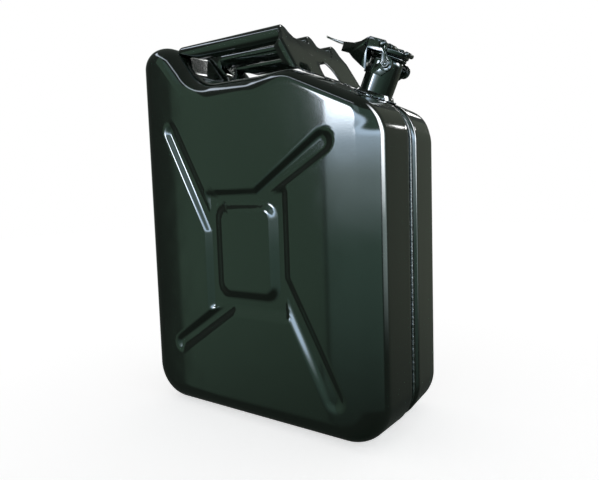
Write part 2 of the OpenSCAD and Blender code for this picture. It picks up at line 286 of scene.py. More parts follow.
def tube_piece(name: str, rings: np.ndarray, loop: bool = False) -> bpy.types.Object:
    """Skins rings of points into a closed piece whose faces look outward.

    The ends are closed with fans to their middles, or the last ring joins the first. The sum
    of the signed volumes under the faces tells which way round they lie.

    Args:
        name: Name of the piece.
        rings: Places in millimetres, shaped rings by points by three.
        loop: Joins the last ring to the first instead of closing the ends.

    Returns:
        The object.
    """
    count, around = rings.shape[:2]
    pts = rings.reshape(-1, 3)
    faces = [band_faces(count, around)]
    i = np.arange(around)
    j = (i + 1) % around
    last = (count - 1) * around
    if loop:
        faces.append(np.stack([last + i, last + j, j, i], -1))
    else:
        n = len(pts)
        pts = np.concatenate([pts, rings[:1].mean(1), rings[-1:].mean(1)])
        faces.append(np.stack([j, i, np.full(around, n)], -1))
        faces.append(np.stack([last + i, last + j, np.full(around, n + 1)], -1))
    local = pts - pts.mean(0)
    volume = 0.0
    for f in faces:
        for k in range(1, f.shape[1] - 1):
            volume += np.einsum("ij,ij->", local[f[:, 0]], np.cross(local[f[:, k]], local[f[:, k + 1]]))
    if volume < 0:
        faces = [f[:, ::-1] for f in faces]
    return mesh_piece(name, pts, faces)


def blobs(name: str, places: np.ndarray, radii: np.ndarray) -> bpy.types.Object:
    """Many small round drops of weld metal in one mesh.

    Args:
        name: Name of the piece.
        places: Middle of each drop, in millimetres.
        radii: Radius of each drop along the three axes.

    Returns:
        The object.
    """
    up, turn = np.radians([-78, -40, 0, 40, 78]), np.linspace(0, 2 * np.pi, 8, endpoint=False)
    ball = np.stack(
        [np.outer(np.cos(up), np.cos(turn)), np.outer(np.cos(up), np.sin(turn)), np.outer(np.sin(up), np.ones(8))], -1
    )
    pts = places[:, None, None] + ball[None] * radii[:, None, None]
    first = np.arange(len(places)) * 40
    quads = (band_faces(5, 8)[None] + first[:, None, None]).reshape(-1, 4)
    caps = np.concatenate([first[:, None] + np.arange(8)[::-1], first[:, None] + 32 + np.arange(8)])
    return mesh_piece(name, pts.reshape(-1, 3), [quads, caps])


def turned(profile: np.ndarray, around: int = 96) -> np.ndarray:
    """Turns a profile of radius and height about the third axis.

    Args:
        profile: Rows of radius and height.
        around: Points round the axis.

    Returns:
        Rings of points.
    """
    p = np.asarray(profile, float)
    a = np.linspace(0, 2 * np.pi, around, endpoint=False)
    return np.stack(
        [p[:, :1] * np.cos(a), p[:, :1] * np.sin(a), np.broadcast_to(p[:, 1:], (len(p), around))], -1
    )


def noise(x: np.ndarray, seed: float) -> np.ndarray:
    """Smooth wandering between about minus one and one: three sines whose rates share no common measure."""
    return (np.sin(x * 1.0 + seed) + np.sin(x * 2.33 + seed * 1.7) + np.sin(x * 5.17 + seed * 2.9)) / 3


def bead_rings(
    path: np.ndarray, out: np.ndarray, side: np.ndarray, wide: float, high: float, pitch: float, seed: float
) -> np.ndarray:
    """Half-round weld bead: its width and height swell once for every ripple and wander slowly.

    Args:
        path: Points along the foot of the bead, in millimetres.
        out: Direction of the bead's top at each point.
        side: Direction across the bead at each point.
        wide: Half width.
        high: Height.
        pitch: Distance between ripples.
        seed: Start of the wandering.

    Returns:
        Rings of points, one for each point of the path.
    """
    step = np.linalg.norm(np.diff(path, axis=0, append=path[-1:]), axis=1)
    s = np.cumsum(step)
    swell = 1 + 0.16 * np.abs(np.sin(np.pi * s / pitch)) + 0.10 * noise(s / 6.0, seed)
    a = np.linspace(0, 2 * np.pi, 16, endpoint=False)
    lift = np.where(np.sin(a) > 0, np.sin(a) * high, np.sin(a) * 0.8)
    return (
        path[:, None]
        + side[:, None] * (wide * np.cos(a))[None, :, None] * swell[:, None, None]
        + out[:, None] * lift[None, :, None] * swell[:, None, None]
    )


def softened(name: str, nodes: tuple, width: float) -> bpy.types.Object:
    """Copies CAD nodes, merges their loose triangles and gives the edges a small round.

    Args:
        name: Name of the new piece.
        nodes: The CAD nodes it stands for.
        width: Width of the round in millimetres.

    Returns:
        The object.
    """
    work = bmesh.new()
    for node in nodes:
        work.from_mesh(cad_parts[node].data)
    bmesh.ops.remove_doubles(work, verts=work.verts, dist=0.00002)
    bmesh.ops.dissolve_limit(work, angle_limit=math.radians(1.0), verts=work.verts, edges=work.edges)
    mesh = bpy.data.meshes.new(name)
    work.to_mesh(mesh)
    work.free()
    obj = bpy.data.objects.new(name, mesh)
    bpy.context.scene.collection.objects.link(obj)
    mesh.polygons.foreach_set("use_smooth", np.ones(len(mesh.polygons), bool))
    soft = obj.modifiers.new("soft_edges", "BEVEL")
    soft.width, soft.segments = width * MM, 2
    soft.limit_method, soft.angle_limit = "ANGLE", math.radians(32)
    soft.harden_normals, soft.use_clamp_overlap = True, True
    return obj


# ---------------------------------------------------------------- body


@dataclass
class Outline:
    """Outline of the can seen from its large face: straight runs joined by arcs."""

    corners: tuple = (
        (-HALF_LENGTH, 0.0, 49.0),
        (HALF_LENGTH, 0.0, 49.0),
        (HALF_LENGTH, SHOULDER_LOW, 49.0),
        (68.0, 404.0, 40.0),
        (-72.5, 409.5, 58.0),
        (-120.5, 466.0, 44.0),
        (-HALF_LENGTH, 466.0, 30.0),
    )

    def points(self, count: int) -> np.ndarray:
        """Walks round the outline at even steps."""
        return rounded_path(self.corners, count)


@dataclass
class PressedCross:
    """The cross pressed into each large face: a frame round a plain rectangle and four arms."""

    centre: tuple = (0.75, 204.0)
    depth: float = 3.5
    wall: float = 10.5
    bend: float = 0.40
    fade_from: float = 45.0
    fade_to: float = 120.0
    fade_left: float = 0.34
    frame_half: tuple = (63.8, 75.5)
    plain_half: tuple = (35.8, 46.3)
    arms: tuple = (
        ((22.0, 268.0), (107.5, 320.5), 12.8, 15.2),
        ((-50.0, 232.0), (-114.0, 351.5), 14.1, 12.4),
        ((-22.0, 142.5), (-111.0, 83.5), 13.2, 13.0),
        ((50.0, 178.0), (115.0, 52.0), 13.4, 15.0),
    )

    @staticmethod
    def box(x: np.ndarray, z: np.ndarray, cx: float, cz: float, hx: float, hz: float, r: float) -> np.ndarray:
        """Signed distance to a rectangle with rounded corners, negative inside."""
        qx, qz = np.abs(x - cx) - hx + r, np.abs(z - cz) - hz + r
        return np.hypot(np.maximum(qx, 0), np.maximum(qz, 0)) + np.minimum(np.maximum(qx, qz), 0) - r

    @staticmethod
    def arm(x: np.ndarray, z: np.ndarray, a: tuple) -> np.ndarray:
        """Signed distance to a round-ended bar whose half width runs evenly from end to end."""
        (ax, az), (bx, bz), w0, w1 = a
        f = np.clip(((x - ax) * (bx - ax) + (z - az) * (bz - az)) / ((bx - ax) ** 2 + (bz - az) ** 2), 0, 1)
        return np.hypot(x - ax - f * (bx - ax), z - az - f * (bz - az)) - w0 - (w1 - w0) * f

    def sink(self, x: np.ndarray, z: np.ndarray) -> np.ndarray:
        """How far the face is pushed in at x, z, in millimetres.

        The outline is the union of the frame and the arms less the rectangle, and the wall
        falls from the outline over its own width: a short bend, an even slope, a short bend.
        Towards the can's foot the two lower arms run out to a third of the depth.

        Args:
            x: Places along the length.
            z: Heights.

        Returns:
            Depths, zero outside the cross.
        """
        cx, cz = self.centre
        d = self.box(x, z, cx, cz, *self.frame_half, 10.0)
        for a in self.arms:
            d = np.minimum(d, self.arm(x, z, a))
        d = np.maximum(d, -self.box(x, z, cx + 0.5, cz + 1.0, *self.plain_half, 9.0))
        f, e = np.clip(-d / self.wall, 0, 1), self.bend
        slope = 1 / (1 - e)
        ramp = np.where(f < e, slope * f * f / (2 * e), slope * (f - e / 2))
        fade = np.clip((z - self.fade_from) / (self.fade_to - self.fade_from), 0, 1)
        fade = self.fade_left + (1 - self.fade_left) * fade * fade * (3 - 2 * fade)
        return self.depth * fade * np.where(f > 1 - e, 1 - slope * (1 - f) ** 2 / (2 * e), ramp)


@dataclass
class Neck:
    """Where the neck stands, and its own frame: u forward, y across, s along the tube."""

    x: float = 129.0
    z: float = shoulder_z(129.0)
    tilt: float = math.radians(24.0)
    radius: float = 18.7

    def place(self, points: np.ndarray) -> np.ndarray:
        """Turns rows of u, y, s into the row frame, in millimetres."""
        u, y, s = points[..., 0], points[..., 1], points[..., 2]
        c, k = math.cos(self.tilt), math.sin(self.tilt)
        return np.stack([self.x + u * c + s * k, y, self.z - u * k + s * c], -1)

    def local(self, points: np.ndarray) -> np.ndarray:
        """Turns places in the row frame into u, y, s."""
        x, y, z = points[..., 0] - self.x, points[..., 1], points[..., 2] - self.z
        c, k = math.cos(self.tilt), math.sin(self.tilt)
        return np.stack([x * c - z * k, y, x * k + z * c], -1)

    def ring(self, name: str, profile: list, around: int = 96, loop: bool = False) -> bpy.types.Object:
        """Turns a profile of radius and s about the tube's axis."""
        return tube_piece(name, self.place(turned(np.array(profile), around)), loop)

    def pin(self, name: str, u: float, s: float, profile: list, around: int = 48) -> bpy.types.Object:
        """Turns a profile of radius and y about a cross axis at u, s."""
        r = turned(np.array(profile), around)
        return tube_piece(name, self.place(np.stack([u + r[..., 0], r[..., 2], s + r[..., 1]], -1)))


@dataclass
class Shell:
    """One pressed half of the can, from its seam flange round to its large face."""

    side: Side
    outline: Outline = field(default_factory=Outline)
    cross: PressedCross = field(default_factory=PressedCross)
    neck: Neck = field(default_factory=Neck)
    around: int = 640
    half_w: float = 82.5
    edge_r: float = 24.0
    shoulder_r: float = 14.0
    draft: float = 1.9
    channel_half: float = 10.0
    channel_depth: float = 9.0
    sheet: float = 1.0

    def rim_radius(self, o: np.ndarray) -> np.ndarray:
        """Radius of the edge at each outline point: it eases from the body's to the shoulder's."""
        a, b = np.clip((o[:, 0] - 10.0) / 50.0, 0, 1), np.clip((o[:, 1] - 335.0) / 30.0, 0, 1)
        return self.edge_r + (self.shoulder_r - self.edge_r) * a * a * (3 - 2 * a) * b * b * (3 - 2 * b)

    def stations(self, off: float, r: np.ndarray) -> np.ndarray:
        """Cross-section from the flange tip to the rim of the face.

        The flange runs down into the channel, the channel wall rises over a small radius, the
        narrow side leans in by the draft, and a quarter circle turns onto the large face.

        Args:
            off: Distance in from the outer surface, zero for the outer skin.
            r: Radius of the edge at each outline point.

        Returns:
            Inset from the outline and y, shaped stations by points by two.
        """
        d, h = self.channel_depth, self.channel_half
        turn = np.linspace(0, np.pi / 2, 17 if off == 0 else 9)
        rows = [
            [d - 6.0, 1.15 - off],
            [d - 0.8 + off, 1.15 - off],
            [d - 0.2 + off, 1.35 - off],
            [d + off, 2.0],
            [d + off, h - 5.2],
        ]
        lip = np.linspace(0, np.pi / 2, 7)
        rows += [[d + off - 1.2 * (1 - np.cos(a)), h - 5.2 + 1.2 * np.sin(a)] for a in lip[1:]]
        rows += [
            [2.4 - 2.4 * np.sin(a) + off, h - 1.6 + (4.0 - off * 0.5) * (1 - np.cos(a)) + off * 0.6] for a in lip
        ]
        same = np.ones(len(r))
        fixed = [np.stack([v[0] * same, v[1] * same], -1) for v in rows]
        for f in np.linspace(0, 1, 6)[:-1]:
            y = h + 6.0 + (self.half_w - r - h - 6.0) * f
            fixed.append(np.stack([self.draft * (y - h) / (self.half_w - r - h) + off, y], -1))
        for a in turn:
            inset, y = self.draft + r - (r - off) * np.cos(a), self.half_w - r + (r - off) * np.sin(a)
            fixed.append(np.stack([inset, y], -1))
        return np.array(fixed)

    def skin(self, off: float, face_rings: int) -> np.ndarray:
        """Rings of one skin from the flange to near the middle of the face."""
        o = self.outline.points(self.around)
        r = self.rim_radius(o)
        st = self.stations(off, r)
        xz = o[None, :, :2] - st[..., :1] * o[None, :, 2:]
        side = np.stack([xz[..., 0], st[..., 1], xz[..., 1]], -1)
        c = np.array(self.cross.centre)
        rim = o[:, :2] - (self.draft + r)[:, None] * o[:, 2:]
        t = np.linspace(1, 0, face_rings + 1)[1:-1]
        flat = c + (rim[None] - c) * t[:, None, None]
        deep = self.half_w - off - self.cross.sink(flat[..., 0], flat[..., 1])
        face = np.stack([flat[..., 0], deep, flat[..., 1]], -1)
        return np.concatenate([side, face])

    def build(self) -> bpy.types.Object:
        """Builds the closed shell and cuts the neck's hole."""
        outer, inner = self.skin(0.0, 68), self.skin(self.sheet, 22)
        n, ro, ri = self.around, len(outer), len(inner)
        pts = np.concatenate([outer.reshape(-1, 3), inner.reshape(-1, 3)])
        cx, cz = self.cross.centre
        sink = float(self.cross.sink(np.array(cx), np.array(cz)))
        mid = np.array([[cx, self.half_w - sink, cz], [cx, self.half_w - self.sheet - sink, cz]])
        pts = np.concatenate([pts, mid])
        i = np.arange(n)
        j = (i + 1) % n
        last, first_in, last_in = (ro - 1) * n, ro * n, (ro + ri - 1) * n
        quads = [
            band_faces(ro, n),
            band_faces(ri, n, first_in, flip=True),
            np.stack([i, first_in + i, first_in + j, j], -1),
        ]
        fans = np.concatenate(
            [
                np.stack([last + i, last + j, np.full(n, len(pts) - 2)], -1),
                np.stack([last_in + j, last_in + i, np.full(n, len(pts) - 1)], -1),
            ]
        )
        if self.side is Side.RIGHT:
            pts = pts * np.array([1, -1, 1])
        else:
            quads, fans = [q[:, ::-1] for q in quads], fans[:, ::-1]
        obj = mesh_piece(f"half_shell_{self.side.name.lower()}", pts, [np.concatenate(quads), fans])
        cut_hole(obj, self.neck, self.neck.radius + 0.1)
        return obj


def cut_hole(obj: bpy.types.Object, neck: Neck, radius: float) -> None:
    """Cuts the neck's round hole through a closed mesh."""
    turn = np.linspace(0, 2 * np.pi, 72, endpoint=False)
    ring = np.stack([radius * np.cos(turn), radius * np.sin(turn)], -1)
    rows = [np.column_stack([ring, np.full(72, s)]) for s in (-40.0, 30.0)]
    pts = neck.place(np.concatenate(rows))
    caps = np.stack([np.arange(72)[::-1], 72 + np.arange(72)])
    tool = mesh_piece("hole_tool", pts, [band_faces(2, 72), caps])
    cut = obj.modifiers.new("hole", "BOOLEAN")
    cut.object, cut.operation, cut.solver = tool, "DIFFERENCE", "FAST"
    graph = bpy.context.evaluated_depsgraph_get()
    done = bpy.data.meshes.new_from_object(obj.evaluated_get(graph))
    obj.modifiers.clear()
    old, obj.data = obj.data, done
    bpy.data.meshes.remove(old)
    bpy.data.objects.remove(tool)


@dataclass
class SeamWeld:
    """The weld that runs round the can in the bottom of the channel, with the spatter beside it."""

    outline: Outline = field(default_factory=Outline)
    neck: Neck = field(default_factory=Neck)
    foot: float = 2.85
    wide: float = 1.9
    high: float = 1.35
    pitch: float = 1.5
    drops: int = 260

    def build(self) -> list[bpy.types.Object]:
        """Builds the bead, open at the neck, and the drops."""
        o = self.outline.points(3600)
        foot = o[:, :2] - self.foot * o[:, 2:]
        path = np.stack([foot[:, 0], np.zeros(len(o)), foot[:, 1]], -1)
        out = np.stack([o[:, 2], np.zeros(len(o)), o[:, 3]], -1)
        near = self.neck.local(path)
        keep = (np.abs(near[:, 0]) > 24.9) | (path[:, 2] < 300)
        start = int(np.argmax(keep & ~np.roll(keep, 1)))
        path, out, keep = (np.roll(v, -start, 0) for v in (path, out, keep))
        path, out = path[keep], out[keep]
        across = np.broadcast_to([0.0, 1.0, 0.0], path.shape)
        rings = bead_rings(path, out, across, self.wide, self.high, self.pitch, seed=0.7)
        bead = tube_piece("seam_weld_bead", rings)
        rng = np.random.default_rng(11)
        pick = rng.choice(np.flatnonzero((path[:, 0] > 60) & (path[:, 2] > 150)), self.drops)
        y = rng.uniform(2.2, 9.2, self.drops) * rng.choice([-1, 1], self.drops)
        deep = np.where(np.abs(y) > 8.4, rng.uniform(3.0, 8.0, self.drops), 9.0) - self.foot
        size = rng.gamma(2.0, 0.12, self.drops).clip(0.12, 0.75)
        where = path[pick] - out[pick] * deep[:, None]
        where[:, 1] = y.clip(-9.6, 9.6)
        return [bead, blobs("weld_spatter", where, size[:, None] * np.ones(3))]


@dataclass
class GripBar:
    """One round bar of the handle: it falls gently towards the neck and ends against the front plate."""

    y: float
    tail: float
    name: str
    radius: float = 10.0
    axis_z: float = 451.3
    foot_x: float = -92.0
    rake: float = math.radians(1.9)
    plate: tuple = (54.0, 438.5, math.radians(59.0))
    plate_gap: float = 1.65
    press_x: float = -80.0
    press_z: float = 453.0
    press_run: float = 33.0

    def build(self) -> bpy.types.Object:
        """Builds the bar.

        Rings follow the raked axis. Behind press_x an outer bar's underside is pressed up along
        a straight ramp, so its tail is a shallow half-round tongue. The last ring is leaned
        back onto the plate, and the rings before it take up the lean evenly over 20 mm.
        """
        a = np.linspace(0, 2 * np.pi, 64, endpoint=False)
        px, pz, pa = self.plate
        tip = np.array([0.0, 0.15, 0.5, 1.1, 2.0])
        x = np.concatenate([self.tail + tip, np.linspace(self.tail + 4, 30, 40), np.linspace(34, 54, 8)])
        shrink = np.interp(x - self.tail, tip, [0.93, 0.96, 0.98, 0.995, 1.0])
        ramp = (self.press_z - self.axis_z + self.radius) / self.press_run
        rings = []
        for k, (bx, f) in enumerate(zip(x, shrink)):
            y, z = self.radius * f * np.cos(a), self.radius * f * np.sin(a)
            if self.tail < self.foot_x:
                low = -self.radius + max(0.0, self.press_x - bx) * ramp
                z = np.where(z < low, low + 0.25 * (z - low) * (1 - abs(low) / self.radius), z)
            rows = np.stack([np.full(64, bx), y, z], -1)
            along = max(0.0, (bx - 34.0) / 20.0)
            c, t = math.cos(self.rake), math.sin(self.rake)
            wx = self.foot_x + (rows[:, 0] - self.foot_x) * c + rows[:, 2] * t
            wz = self.axis_z - (rows[:, 0] - self.foot_x) * t + rows[:, 2] * c
            stop = px + (pz - wz) / math.tan(pa) - self.plate_gap / math.sin(pa)
            rings.append(np.stack([wx + (stop - wx) * along, self.y + rows[:, 1], wz], -1))
        return tube_piece(self.name, np.array(rings))


@dataclass
class FrontPlate:
    """The pressed plate across the front of the handle: three arches, turned-back edges and a window."""

    at: tuple = (54.0, 438.5)
    lean: float = math.radians(59.0)
    arch_y: tuple = (-54.0, 0.0, 54.0)
    arch_z: float = 446.79
    arch_r: float = 10.6
    valley_z: float = 445.6
    sheet: float = 1.5
    round_r: float = 3.2
    window_r: float = 17.0
    window_z: float = 404.0
    steps: int = 420
    foot_x: float = 75.9

    def outline(self) -> np.ndarray:
        """Open path of y and z from one foot over the arches to the other, softened over 2.5 mm."""
        y = np.linspace(-64.9, 64.9, 900)
        z = np.full(900, self.valley_z)
        for c in self.arch_y:
            z = np.maximum(z, self.arch_z + np.sqrt(np.clip(self.arch_r**2 - (y - c) ** 2, 0, None)))
        z = np.where(np.abs(y) > 64.6, 446.0, z)
        left = np.array([[-74.6, 392.0], [-72.5, 436.0]])
        path = np.vstack([left, np.stack([y, z], -1), left[::-1] * [-1, 1]])
        along = np.concatenate([[0], np.cumsum(np.linalg.norm(np.diff(path, axis=0), axis=1))])
        fine = np.stack([np.interp(np.arange(0, along[-1], 0.25), along, path[:, k]) for k in (0, 1)], -1)
        kernel = np.hanning(17)
        kernel /= kernel.sum()
        pad = np.vstack([np.repeat(fine[:1], 8, 0), fine, np.repeat(fine[-1:], 8, 0)])
        soft = np.stack([np.convolve(pad[:, k], kernel, "valid") for k in (0, 1)], -1)
        return soft[np.linspace(0, len(soft) - 1, self.steps).astype(int)]

    def place(self, y: np.ndarray, h: np.ndarray, deep: np.ndarray) -> np.ndarray:
        """Turns y, distance up the plate and depth behind it into the row frame, above the shoulder."""
        c, k = math.cos(self.lean), math.sin(self.lean)
        x = self.at[0] - h * c - deep * k
        z = self.at[1] + h * k - deep * c
        floor = shoulder_z(x) + 0.2
        return np.stack([x, y, np.maximum(z, floor)], -1)

    def build(self) -> bpy.types.Object:
        """Builds the plate.

        Every point of the outline carries one closed loop: down the turned-back edge, round the
        bend, across the face to the window's rim, round it, and back along the inner face. The
        edge is 12.6 deep along the sides and 3.4 deep over the arches.
        """
        path = self.outline()
        flat = np.stack([path[:, 0], (path[:, 1] - self.at[1]) / math.sin(self.lean)], -1)
        step = np.gradient(flat, axis=0)
        step /= np.linalg.norm(step, axis=1)[:, None]
        inward = np.stack([step[:, 1], -step[:, 0]], -1)
        t = np.linspace(math.radians(195), math.radians(-15), self.steps)
        tall = self.window_r * 1.15 / math.sin(self.lean)
        hole_h = (self.window_z - self.at[1]) / math.sin(self.lean)
        hole = np.stack([self.window_r * np.cos(t), hole_h + tall * np.sin(t)], -1)
        away = np.stack([np.cos(t), np.sin(t)], -1)
        side = np.clip((442.0 - path[:, 1]) / 8.0, 0, 1)
        rim = 3.4 + 9.2 * side * side * (3 - 2 * side)
        rows = [(1.0, rim), (0.4, rim), (0.0, rim - 0.4)]
        for a in np.linspace(0, np.pi / 2, 7):
            deep = np.full(self.steps, self.round_r * (1 - math.sin(a)))
            rows.append((self.round_r * (1 - math.cos(a)), deep))
        loops = [self.place((flat + inward * i)[:, 0], (flat + inward * i)[:, 1], d) for i, d in rows]
        inner, outer = hole + away * 1.2, flat + inward * self.round_r
        for f in np.linspace(0.1, 1, 8):
            p = outer + (inner - outer) * f
            loops.append(self.place(p[:, 0], p[:, 1], np.zeros(self.steps)))
        for a in np.linspace(0.3, np.pi / 2, 4):
            p = hole + away * 1.2 * (1 - math.sin(a))
            loops.append(self.place(p[:, 0], p[:, 1], np.full(self.steps, 1.2 * (1 - math.cos(a)))))
        back = np.full(self.steps, self.sheet)
        outer = flat + inward * (self.round_r + 0.2)
        for f in np.linspace(0, 1, 6):
            p = hole + away * 0.2 + (outer - hole) * f
            loops.append(self.place(p[:, 0], p[:, 1], back))
        p = flat + inward * self.sheet
        loops.append(self.place(p[:, 0], p[:, 1], np.full(self.steps, self.round_r)))
        loops.append(self.place(p[:, 0], p[:, 1], rim - 0.1))
        return tube_piece("bar_plate", np.stack(loops, 1))

    def flange(self) -> list[bpy.types.Object]:
        """The narrow foot that lies on the shoulder, and the stitches of weld along it."""
        slope = math.atan2(SHOULDER_RISE, SHOULDER_RUN)
        u = np.array([-1.5, 6.3, 6.9, 7.1, 6.9, 6.3, -1.5])
        w = np.array([0.2, 0.2, 0.45, 0.95, 1.45, 1.65, 1.65])
        x = self.foot_x + u * math.cos(slope) + w * math.sin(slope)
        z = shoulder_z(self.foot_x) - u * math.sin(slope) + w * math.cos(slope)
        ends = [np.stack([x, np.full(7, y), z], -1) for y in np.linspace(-73.9, 73.9, 20)]
        rng = np.random.default_rng(3)
        runs = [rng.uniform(a, b, 26) for a, b in ((-72, -52), (-30, -14), (14, 30), (52, 72))]
        y = np.concatenate(runs)
        size = rng.uniform(0.5, 1.3, len(y))
        fx = self.foot_x + 6.6 + rng.uniform(-0.5, 0.9, len(y))
        spots = np.stack([fx, y, shoulder_z(fx) + 0.6], -1)
        drops = blobs("plate_foot_weld", spots, size[:, None] * np.array([1.0, 1.25, 0.9]))
        return [tube_piece("plate_flange", np.array(ends)), drops]


@dataclass
class Closure:
    """Neck, trunnions and lid: everything turned on the neck's own axes."""

    neck: Neck = field(default_factory=Neck)

    def pieces(self) -> list[tuple]:
        """Builds each turned piece; rows of object, body, CAD nodes and slot."""
        n = self.neck
        a = np.linspace(0, 2 * np.pi, 20, endpoint=False)
        bore, radius = n.radius - 1.4, n.radius
        outer = [[radius, s] for s in (-14, -8, 8, 22, 36)] + [[radius - 0.1, 41.5]]
        inner = [[bore + 0.1, 41.5], [bore, 36], [bore, 0]]
        tube = n.ring("neck_pipe", [[bore, -14]] + outer + inner, loop=True)
        lip = n.ring("rolled_lip", [[18.9 + 1.45 * math.cos(t), 43.25 + 1.45 * math.sin(t)] for t in a], loop=True)
        rows = [(tube, "can", ("neck_tube",), "enamel"), (lip, "can", ("neck_lip",), "enamel")]
        # Radius and y of a trunnion: pin, spacer between strap and lever, and a riveted head with a ring in it.
        shaft = [[0.02, 19.05], [2.5, 19.05], [2.75, 19.3], [2.75, 20.85]]
        spacer = [[3.95, 20.85], [4.2, 21.1], [4.2, 22.25], [3.95, 22.5], [2.75, 22.5], [2.75, 24.7]]
        rivet = [[4.3, 24.7], [4.6, 25.0], [4.6, 25.7], [4.25, 26.2], [3.4, 26.4], [2.9, 26.3]]
        dimple = [[2.5, 25.9], [2.1, 25.9], [1.8, 26.2], [1.2, 26.38], [0.02, 26.4]]
        half = shaft + spacer + rivet + dimple
        for side in Side:
            pin = n.pin(f"trunnion_pin_{side.name.lower()}", 12.0, 34.5, [[r, side.value * y] for r, y in half])
            rows.append((pin, "can", (f"trunnion_{side.name.lower()}",), "enamel"))
        head = [[0.02, 26.3], [1.6, 26.25], [2.9, 25.9], [3.6, 25.3], [3.9, 24.9], [3.8, 24.72], [2.0, 24.7]]
        pin = n.pin("lid_axle", 0.0, 52.8, head + [[2.0, 20], [2.0, -20]] + [[r, -y] for r, y in head[::-1]])
        rows.append((pin, "lever", ("lid_pin",), "enamel"))
        # Radius and s of the lid: dished top, rolled upper rim, skirt and rolled lower rim.
        top = [[0.02, 48.4], [19.6, 48.4], [20.1, 48.6], [20.3, 49.2], [20.4, 50.2], [20.7, 50.55]]
        skirt = [[21.1, 50.55], [21.4, 50.2], [21.5, 49.6], [21.45, 48.4], [21.5, 47.2], [21.45, 46.2]]
        under = [[21.2, 45.7], [20.7, 45.6], [20.35, 45.9], [20.3, 46.6], [20.1, 47.15], [19.6, 47.2], [0.02, 47.2]]
        plate = n.ring("lid_pan", top + skirt + under, around=128)
        rows.append((plate, "lid", ("lid_plate",), "enamel"))
        foot = [[14.5, 45.0], [14.7, 44.8], [20.0, 44.8], [20.2, 45.0]]
        crown = [[20.2, 46.95], [20.0, 47.15], [14.7, 47.15], [14.5, 46.95]]
        ring = n.ring("seal_ring", foot + crown, loop=True)
        rows.append((ring, "lid", ("lid_gasket",), "rubber"))
        soft = [[0.02, -8], [2.1, -8], [2.5, -7.6], [2.6, -7.1], [2.6, 7.1], [2.5, 7.6], [2.1, 8], [0.02, 8]]
        rows.append((n.pin("stop_roller", 22.2, 50.6, soft, 32), "lid", ("lid_stop_roll",), "enamel"))
        return rows

    def foot_weld(self) -> bpy.types.Object:
        """Lumpy run of weld round the collar, where it meets the sloping shoulder."""
        rng = np.random.default_rng(5)
        t = np.sort(rng.uniform(0, 2 * np.pi, 90))
        slope = math.atan2(SHOULDER_RISE, SHOULDER_RUN)
        u, y = 24.3 * np.cos(t), 24.3 * np.sin(t)
        s = 0.6 - u * math.tan(slope - self.neck.tilt)
        size = rng.uniform(0.5, 1.25, 90)
        spots = self.neck.place(np.stack([u, y, s], -1))
        return blobs("neck_foot_weld", spots, size[:, None] * np.array([1.2, 1.2, 0.8]))


def settle(obj: bpy.types.Object, body: str, nodes: tuple, slot: str, mats: dict) -> None:
    """Attaches a piece to its body, gives it the finish of its slot and hides the CAD nodes it stands for."""
    obj.data.materials.clear()
    obj.data.materials.append(mats[slot])
    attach(obj, body)
    if nodes:
        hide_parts(*nodes)
    log.info("%s: %d faces on %s", obj.name, len(obj.data.polygons), body)


# ---------------------------------------------------------------- studio


@dataclass(frozen=True)
class Panel:
    """A soft panel of light far away: angles in degrees, sideways from the front of the large face."""

    left: float
    right: float
    foot: float
    head: float
    level: float
    colour: str = "#ffffff"
    left_soft: float = 0.5
    right_soft: float = 0.5
    foot_soft: float = 1.0
    head_soft: float = 1.0


